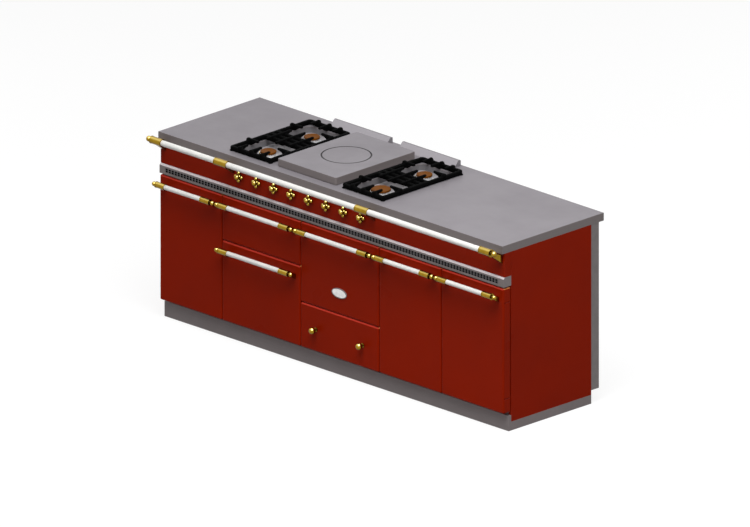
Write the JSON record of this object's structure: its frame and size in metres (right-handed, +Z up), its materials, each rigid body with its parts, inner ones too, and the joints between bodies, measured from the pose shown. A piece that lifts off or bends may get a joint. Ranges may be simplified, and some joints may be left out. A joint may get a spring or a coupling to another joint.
{
  "type": "gas range cooker",
  "caption": "Freestanding gas range with a steel hob and simmer plate, ovens, cupboards, a drawer and a pull-out larder behind red enamelled fronts with brass fittings.",
  "frame": {"origin": "on the floor, under the middle of the box round the cooker", "axes": "+X to the right along the cooker's length, +Y to the back, +Z up"},
  "size_m": [2.236, 0.7254, 0.937],
  "materials": {
    "stainless": "brushed",
    "steel_plate": "ground",
    "red_enamel": "gloss enamel",
    "brass": "polished",
    "white_enamel": "gloss enamel",
    "cast_iron": "matt enamel",
    "burner_alloy": "satin",
    "burner_bronze": "heat-tinted",
    "oven_enamel": "speckled enamel",
    "zinc_steel": "zinc plated",
    "chrome_wire": "plated",
    "foot_rubber": "matt",
    "seal_cord": "matt"
  },
  "bodies": {
    "carcass": {"worktop": "stainless", "simmer_plate": "steel_plate", "simmer_disc": "steel_plate", "spill_trays": "stainless", "burner_heads": "burner_alloy", "burner_caps": "burner_bronze", "pan_supports": "cast_iron", "flue_vents": "stainless", "control_fascia": "red_enamel", "vent_strip": "stainless", "rail_bar": "white_enamel", "rail_mounts": "brass", "side_panels": "red_enamel", "rear_panel": "zinc_steel", "base_panel": "zinc_steel", "front_frame": "zinc_steel", "plinth": "stainless", "feet": "foot_rubber", "oven_liners": "oven_enamel", "storage_liners": "zinc_steel", "wire_shelves": "chrome_wire", "oven_burners": "zinc_steel", "oven_seals": "seal_cord", "gas_manifold": "zinc_steel", "hinge_arms": "zinc_steel"},
    "left_door": {"left_door": "red_enamel", "left_door_lining": "zinc_steel", "left_door_handle_bar": "white_enamel", "left_door_handle_mounts": "brass"},
    "grill_door": {"grill_door": "red_enamel", "grill_door_lining": "oven_enamel", "grill_door_handle_bar": "white_enamel", "grill_door_handle_mounts": "brass"},
    "lower_oven_door": {"lower_oven_door": "red_enamel", "lower_oven_door_lining": "oven_enamel", "lower_oven_door_handle_bar": "white_enamel", "lower_oven_door_handle_mounts": "brass"},
    "main_oven_door": {"main_oven_door": "red_enamel", "main_oven_door_lining": "oven_enamel", "main_oven_door_handle_bar": "white_enamel", "main_oven_door_handle_mounts": "brass"},
    "right_door": {"right_door": "red_enamel", "right_door_lining": "zinc_steel", "right_door_handle_bar": "white_enamel", "right_door_handle_mounts": "brass"},
    "storage_drawer": {"drawer_front": "red_enamel", "drawer_box": "zinc_steel", "drawer_knobs": "brass"},
    "larder": {"larder_front": "red_enamel", "larder_carriage": "zinc_steel", "larder_handle_bar": "white_enamel", "larder_handle_mounts": "brass"},
    "knob_1": {"control_knob_1": "brass"},
    "knob_2": {"control_knob_2": "brass"},
    "knob_3": {"control_knob_3": "brass"},
    "knob_4": {"control_knob_4": "brass"},
    "knob_5": {"control_knob_5": "brass"},
    "knob_6": {"control_knob_6": "brass"},
    "knob_7": {"control_knob_7": "brass"},
    "knob_8": {"control_knob_8": "brass"}
  },
  "joints": [
    {"name": "left_door_hinge", "type": "hinge", "parent": "carcass", "child": "left_door", "pos_m": [-1.091, -0.26925, 0.16], "axis": [0, 0, -1], "range_deg": [0, 90]},
    {"name": "grill_door_hinge", "type": "hinge", "parent": "carcass", "child": "grill_door", "pos_m": [-0.689, -0.26925, 0.4875], "axis": [1, 0, 0], "range_deg": [0, 90]},
    {"name": "lower_oven_door_hinge", "type": "hinge", "parent": "carcass", "child": "lower_oven_door", "pos_m": [-0.689, -0.26925, 0.1], "axis": [1, 0, 0], "range_deg": [0, 90]},
    {"name": "main_oven_door_hinge", "type": "hinge", "parent": "carcass", "child": "main_oven_door", "pos_m": [-0.1865, -0.26925, 0.3175], "axis": [1, 0, 0], "range_deg": [0, 90]},
    {"name": "right_door_hinge", "type": "hinge", "parent": "carcass", "child": "right_door", "pos_m": [1.091, -0.26925, 0.16], "axis": [0, 0, 1], "range_deg": [0, 90]},
    {"name": "drawer_slide", "type": "slide", "parent": "carcass", "child": "storage_drawer", "axis": [0, -1, 0], "range_m": [0, 0.27]},
    {"name": "larder_slide", "type": "slide", "parent": "carcass", "child": "larder", "axis": [0, -1, 0], "range_m": [0, 0.35]},
    {"name": "knob_1_turn", "type": "hinge", "parent": "carcass", "child": "knob_1", "pos_m": [-0.59025, -0.27125, 0.8085], "axis": [0, -1, 0], "range_deg": [0, 210]},
    {"name": "knob_2_turn", "type": "hinge", "parent": "carcass", "child": "knob_2", "pos_m": [-0.47875, -0.27125, 0.8085], "axis": [0, -1, 0], "range_deg": [0, 210]},
    {"name": "knob_3_turn", "type": "hinge", "parent": "carcass", "child": "knob_3", "pos_m": [-0.36725, -0.27125, 0.8085], "axis": [0, -1, 0], "range_deg": [0, 210]},
    {"name": "knob_4_turn", "type": "hinge", "parent": "carcass", "child": "knob_4", "pos_m": [-0.25575, -0.27125, 0.8085], "axis": [0, -1, 0], "range_deg": [0, 210]},
    {"name": "knob_5_turn", "type": "hinge", "parent": "carcass", "child": "knob_5", "pos_m": [-0.14425, -0.27125, 0.8085], "axis": [0, -1, 0], "range_deg": [0, 210]},
    {"name": "knob_6_turn", "type": "hinge", "parent": "carcass", "child": "knob_6", "pos_m": [-0.03275, -0.27125, 0.8085], "axis": [0, -1, 0], "range_deg": [0, 210]},
    {"name": "knob_7_turn", "type": "hinge", "parent": "carcass", "child": "knob_7", "pos_m": [0.07875, -0.27125, 0.8085], "axis": [0, -1, 0], "range_deg": [0, 210]},
    {"name": "knob_8_turn", "type": "hinge", "parent": "carcass", "child": "knob_8", "pos_m": [0.19025, -0.27125, 0.8085], "axis": [0, -1, 0], "range_deg": [0, 210]}
  ]
}
